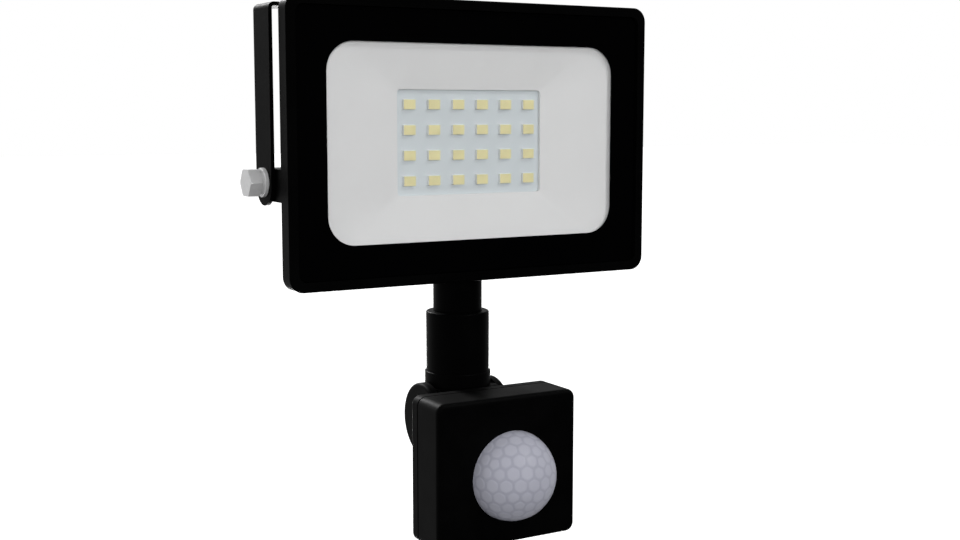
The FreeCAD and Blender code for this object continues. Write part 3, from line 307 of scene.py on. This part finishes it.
# ---- finishes, one for each of the record's material slots ------------------------------------
FINISHES = {
    "bracket_paint": dict(make=powder_coat, colour=BLACK, rough=0.60, grain=0.30, depth=0.012,
                          specular=0.048),
    "housing_coat": dict(make=powder_coat, colour=BLACK, rough=0.40, grain=0.34, depth=0.014,
                         specular=0.025),
    "window_glass": dict(make=clear_glass),
    "border_enamel": dict(colour=(0.0006, 0.0006, 0.0007), rough=0.2, grain=3.0, depth=0.002, specular=0.02),
    "seal_rubber": dict(make=rubber, colour=(0.012, 0.012, 0.013)),
    "reflector_white": dict(colour=(0.80, 0.80, 0.805), rough=0.55, grain=0.5, depth=0.004,
                            specular=0.3, spread=0.01),
    "board_white": dict(colour=(0.68, 0.73, 0.757), rough=0.42, grain=0.6, depth=0.003,
                        specular=0.4, spread=0.015),
    "pad_grey": dict(make=rubber, colour=(0.25, 0.27, 0.30)),
    "led_body": dict(colour=(0.82, 0.82, 0.80), rough=0.4, grain=0.3, depth=0.002,
                     specular=0.4, spread=0.01),
    "led_phosphor": dict(colour=(0.845, 0.78, 0.445), rough=0.5, grain=0.12, depth=0.006,
                         specular=0.4, spread=0.04),
    "chip_black": dict(colour=(0.012, 0.012, 0.013), rough=0.5, grain=0.1, depth=0.006),
    "resistor_black": dict(colour=(0.015, 0.015, 0.018), rough=0.3, grain=0.2, depth=0.002),
    "zinc_steel": dict(make=metal, colour=(0.95, 0.95, 0.955), rough=0.5, brush=0.25, spread=0.05,
                       metallic=0.45),
    "screw_steel": dict(make=metal, colour=(0.46, 0.46, 0.47), rough=0.34),
    "gland_plastic": dict(colour=(0.004, 0.004, 0.0045), rough=0.42, grain=0.3, depth=0.008, specular=0.25),
    "terminal_plastic": dict(colour=(0.72, 0.70, 0.64)),
    "brass_insert": dict(make=metal, colour=(0.62, 0.44, 0.17), rough=0.3),
    "tinned_copper": dict(make=metal, colour=(0.62, 0.60, 0.57), rough=0.38),
    "lead_pvc": dict(make=banded_leads),
    "neck_plastic": dict(colour=BLACK, rough=0.4, grain=0.4, depth=0.006, specular=0.024, spread=0.2),
    "head_plastic": dict(colour=BLACK, rough=0.55, grain=0.28, depth=0.012, specular=0.045, spread=0.25),
    "lens_white": dict(make=grooved_lens, colour=LENS_COLOUR),
    "retainer_plastic": dict(colour=(0.01, 0.01, 0.01), rough=0.5),
    "circuit_board": dict(colour=(0.015, 0.11, 0.045), rough=0.35, grain=0.8, spread=0.15),
    "can_metal": dict(make=metal, colour=(0.66, 0.66, 0.67), rough=0.25),
    "filter_window": dict(colour=(0.02, 0.02, 0.03), rough=0.12, grain=4.0, depth=0.001),
    "relay_case": dict(colour=(0.012, 0.012, 0.015), rough=0.35),
    "capacitor_film": dict(colour=(0.52, 0.27, 0.05), rough=0.25, grain=0.9, depth=0.02),
    "capacitor_sleeve": dict(colour=(0.012, 0.018, 0.07), rough=0.28, grain=1.5),
    "sensor_clear": dict(colour=(0.62, 0.66, 0.7), rough=0.15, grain=2.0, depth=0.002),
    "connector_white": dict(colour=(0.78, 0.77, 0.73), rough=0.4),
    "trimmer_blue": dict(colour=(0.02, 0.08, 0.30), rough=0.35),
    "dial_grey": dict(colour=(0.16, 0.16, 0.165), grain=0.25),
}


def make_finishes():
    """A material for each slot; a recipe that names no kind is plastic."""
    made = {}
    for slot, recipe in FINISHES.items():
        numbers = dict(recipe)
        make = numbers.pop("make", plastic)
        made[slot] = make(slot, **numbers).material
    return made


def dress_cad(finishes):
    for part in frame["record"]["subparts"]:
        mesh = frame["nodes"][part["node"]].data
        mesh.materials.clear()
        mesh.materials.append(finishes[part["material_slot"]])


# ---- motion lens: a geodesic dome of six-sided cells -------------------------------------------
def tangent_corner(directions, radius):
    """Where the three planes that touch the sphere at these directions meet."""
    a, b, c = directions
    return (b.cross(c) + c.cross(a) + a.cross(b)) * (radius / a.dot(b.cross(c)))


def dome_cells(radius):
    """(direction, corners in order) of each cell: the dual of a finely divided icosahedron."""
    ball = bmesh.new()
    bmesh.ops.create_icosphere(ball, subdivisions=3, radius=1.0)
    turn = Euler([math.radians(a) for a in LENS_TURN]).to_matrix()
    bmesh.ops.transform(ball, matrix=turn.to_4x4(), verts=ball.verts)
    corners = {f: tangent_corner([v.co.normalized() for v in f.verts], radius) for f in ball.faces}
    found = []
    for v in ball.verts:
        axis = v.co.normalized()
        side = axis.orthogonal().normalized()
        up = axis.cross(side)
        around = sorted((corners[f] for f in v.link_faces),
                        key=lambda p: math.atan2(p.dot(up), p.dot(side)))
        found.append((axis, around))
    ball.free()
    return found


def add_band(mesh, outer, inner):
    """Quads between two closed rings of as many vertices."""
    for i in range(len(outer)):
        j = (i + 1) % len(outer)
        mesh.faces.new((outer[i], outer[j], inner[j], inner[i]))


def add_cell(mesh, axis, corners):
    """One cell: groove bottom on its edge, soft shoulders, and a rounded, nearly flat face."""
    middle = sum(corners, Vector()) / len(corners)
    edge_mids = [(a + b) / 2 for a, b in zip(corners, corners[1:] + corners[:1])]
    apothem = min((p - middle).length for p in edge_mids)
    outline = [p for pair in zip(corners, edge_mids) for p in pair]
    groove = mesh.verts.layers.float["groove"]
    rings = []
    for inset, sink in GROOVE_PROFILE:
        ring = []
        for p in outline:
            reach = (p - middle).length
            keep = 1.0 - inset * (GROOVE_HALF + CORNER_ROUND * (reach - apothem)) / reach
            ring.append(mesh.verts.new(middle + (p - middle) * keep - p.normalized() * (sink * GROOVE_DEPTH)))
            # the groove attribute sets how much painted shade the lens gets here
            ring[-1][groove] = sink
        rings.append(ring)
    crown = axis * (CELL_CROWN * CROWN_SHARE)
    rings.append([mesh.verts.new(middle + (p - middle) * CROWN_INSET + crown) for p in outline])
    for outer, inner in zip(rings, rings[1:]):
        add_band(mesh, outer, inner)
    mesh.faces.new(rings[-1])


def celled_dome(centre, radius, root_y):
    """The dome's outer skin, cut off flat at root_y."""
    mesh = bmesh.new()
    mesh.verts.layers.float.new("groove")
    for axis, corners in dome_cells(radius - CELL_CROWN):
        if axis.y < BACK_LIMIT:
            add_cell(mesh, axis, corners)
    bmesh.ops.remove_doubles(mesh, verts=mesh.verts, dist=WELD)
    bmesh.ops.translate(mesh, vec=centre, verts=mesh.verts)
    everything = list(mesh.verts) + list(mesh.edges) + list(mesh.faces)
    bmesh.ops.bisect_plane(mesh, geom=everything, plane_co=(0, root_y, 0), plane_no=(0, 1, 0),
                           clear_outer=True)
    loose = [v for v in mesh.verts if not v.link_faces]
    bmesh.ops.delete(mesh, geom=loose, context="VERTS")
    return mesh


def ordered_loop(edges):
    """The vertices of one closed chain of edges, in order."""
    left = set(edges)
    first = edges[0].verts[0]
    chain, last = [first], None
    while True:
        last = next(e for e in chain[-1].link_edges if e in left and e is not last)
        following = last.other_vert(chain[-1])
        if following is first:
            return chain
        chain.append(following)


def ring_at(mesh, loop, centre, y, reach=None):
    """Ring of vertices at y, as far out as the loop's own or, if it is given, at reach."""
    ring = []
    for v in loop:
        out = Vector((v.co.x - centre.x, 0, v.co.z - centre.z))
        if reach is not None:
            out = out.normalized() * reach
        ring.append(mesh.verts.new((centre.x + out.x, y, centre.z + out.z)))
    return ring


def motion_lens():
    """Closed lens: celled dome, flange, and a smooth inner dome, in the space of the CAD lens."""
    low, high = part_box("pir_lens")
    flange = (high.x - low.x) / 2
    radius = flange * DOME_SHARE
    inner = radius - LENS_WALL
    centre = Vector(((low.x + high.x) / 2, low.y + radius, (low.z + high.z) / 2))
    mesh = celled_dome(centre, radius, high.y - DOME_ROOT)
    loop = ordered_loop([e for e in mesh.edges if e.is_boundary])
    flange_front = high.y - LENS_WALL
    rings = [loop]
    for y, reach in ((flange_front, None), (flange_front, flange), (high.y, flange), (high.y, inner)):
        rings.append(ring_at(mesh, loop, centre, y, reach))
    inner_edge = rings[-1]
    for step in range(INNER_STEPS):
        angle = math.radians(90.0 * step / INNER_STEPS)
        rings.append([mesh.verts.new((centre.x + (v.co.x - centre.x) * math.cos(angle),
                                      centre.y - inner * math.sin(angle),
                                      centre.z + (v.co.z - centre.z) * math.cos(angle)))
                      for v in inner_edge])
    for outer, following in zip(rings, rings[1:]):
        add_band(mesh, outer, following)
    mesh.faces.new(rings[-1])
    bmesh.ops.recalc_face_normals(mesh, faces=mesh.faces)
    return mesh


def finish_piece(mesh, name, body, slot, finishes, replaces):
    data = bpy.data.meshes.new(name)
    mesh.to_mesh(data)
    mesh.free()
    for face in data.polygons:
        face.use_smooth = True
    piece = bpy.data.objects.new(name, data)
    bpy.context.scene.collection.objects.link(piece)
    data.materials.append(finishes[slot])
    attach(piece, body)
    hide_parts(*replaces)


# ---- studio -------------------------------------------------------------------------------------
def make_world():
    """White to the camera; as light, soft surroundings that fade from one side to the other."""
    world = bpy.data.worlds.new("studio")
    bpy.context.scene.world = world
    world.use_nodes = True
    tree = world.node_tree
    tree.nodes.clear()
    out = tree.nodes.new("ShaderNodeOutputWorld")
    seen = tree.nodes.new("ShaderNodeBackground")
    seen.inputs["Color"].default_value = WHITE
    soft = tree.nodes.new("ShaderNodeBackground")
    place = tree.nodes.new("ShaderNodeTexCoord")
    lean = tree.nodes.new("ShaderNodeVectorMath")
    lean.operation = "DOT_PRODUCT"
    lean.inputs[1].default_value = Vector(BRIGHT_WAY).normalized()
    tree.links.new(place.outputs["Generated"], lean.inputs[0])
    fade = tree.nodes.new("ShaderNodeMapRange")
    for name, value in (("From Min", FADE_START), ("From Max", FADE_END),
                        ("To Min", DARK_SIDE), ("To Max", BRIGHT_SIDE)):
        fade.inputs[name].default_value = value
    tree.links.new(lean.outputs["Value"], fade.inputs["Value"])
    tree.links.new(fade.outputs["Result"], soft.inputs["Strength"])
    path = tree.nodes.new("ShaderNodeLightPath")
    mix = tree.nodes.new("ShaderNodeMixShader")
    tree.links.new(path.outputs["Is Camera Ray"], mix.inputs[0])
    tree.links.new(soft.outputs[0], mix.inputs[1])
    tree.links.new(seen.outputs[0], mix.inputs[2])
    tree.links.new(mix.outputs[0], out.inputs["Surface"])


def area_light(name, towards, distance, size, power, mirrored):
    """Square light that shines at the lamp from the given direction."""
    light = bpy.data.lights.new(name, "AREA")
    light.size = size
    light.energy = power
    lamp = bpy.data.objects.new(name, light)
    bpy.context.scene.collection.objects.link(lamp)
    aim = (cad_box[0] + cad_box[1]) / 2
    way = Vector(towards).normalized()
    lamp.location = aim + way * distance
    lamp.rotation_mode = "QUATERNION"
    lamp.rotation_quaternion = way.to_track_quat("Z", "Y")
    lamp.visible_camera = False
    lamp.visible_glossy = mirrored


def make_floor():
    """Wide pale floor, bright enough to run into the white background."""
    reach = FLOOR_SIZE / 2
    z = cad_box[0].z - FLOOR_DROP
    corners = [(-reach, -reach, z), (reach, -reach, z), (reach, reach, z), (-reach, reach, z)]
    data = bpy.data.meshes.new("floor")
    data.from_pydata(corners, [], [(0, 1, 2, 3)])
    floor = bpy.data.objects.new("floor", data)
    bpy.context.scene.collection.objects.link(floor)
    made = Finish("floor_paper", 0.9)
    dull, bright = ((tone,) * 3 for tone in FLOOR_TONES)
    made.colour(made.ramp(made.noise(FLOOR_CLOUD_MM), (0.3, dull), (0.7, bright)))
    made.shader.inputs["Emission Color"].default_value = WHITE
    made.shader.inputs["Emission Strength"].default_value = 1.0
    data.materials.append(made.material)
    floor.visible_diffuse = False
    floor.visible_glossy = False


def make_camera():
    data = bpy.data.cameras.new("camera")
    data.lens = CAMERA_LENS
    data.clip_start = CAMERA_CLIP
    camera = bpy.data.objects.new("camera", data)
    camera.location = CAMERA_AT
    camera.rotation_euler = [math.radians(a) for a in CAMERA_TURN]
    bpy.context.scene.collection.objects.link(camera)
    bpy.context.scene.camera = camera


bpy.context.scene.view_settings.view_transform = "Standard"
finishes = make_finishes()
dress_cad(finishes)
finish_piece(motion_lens(), "motion_lens", "sensor_head", "lens_white", finishes, ["pir_lens"])
make_world()
make_floor()
for light in LIGHTS:
    area_light(*light)
make_camera()
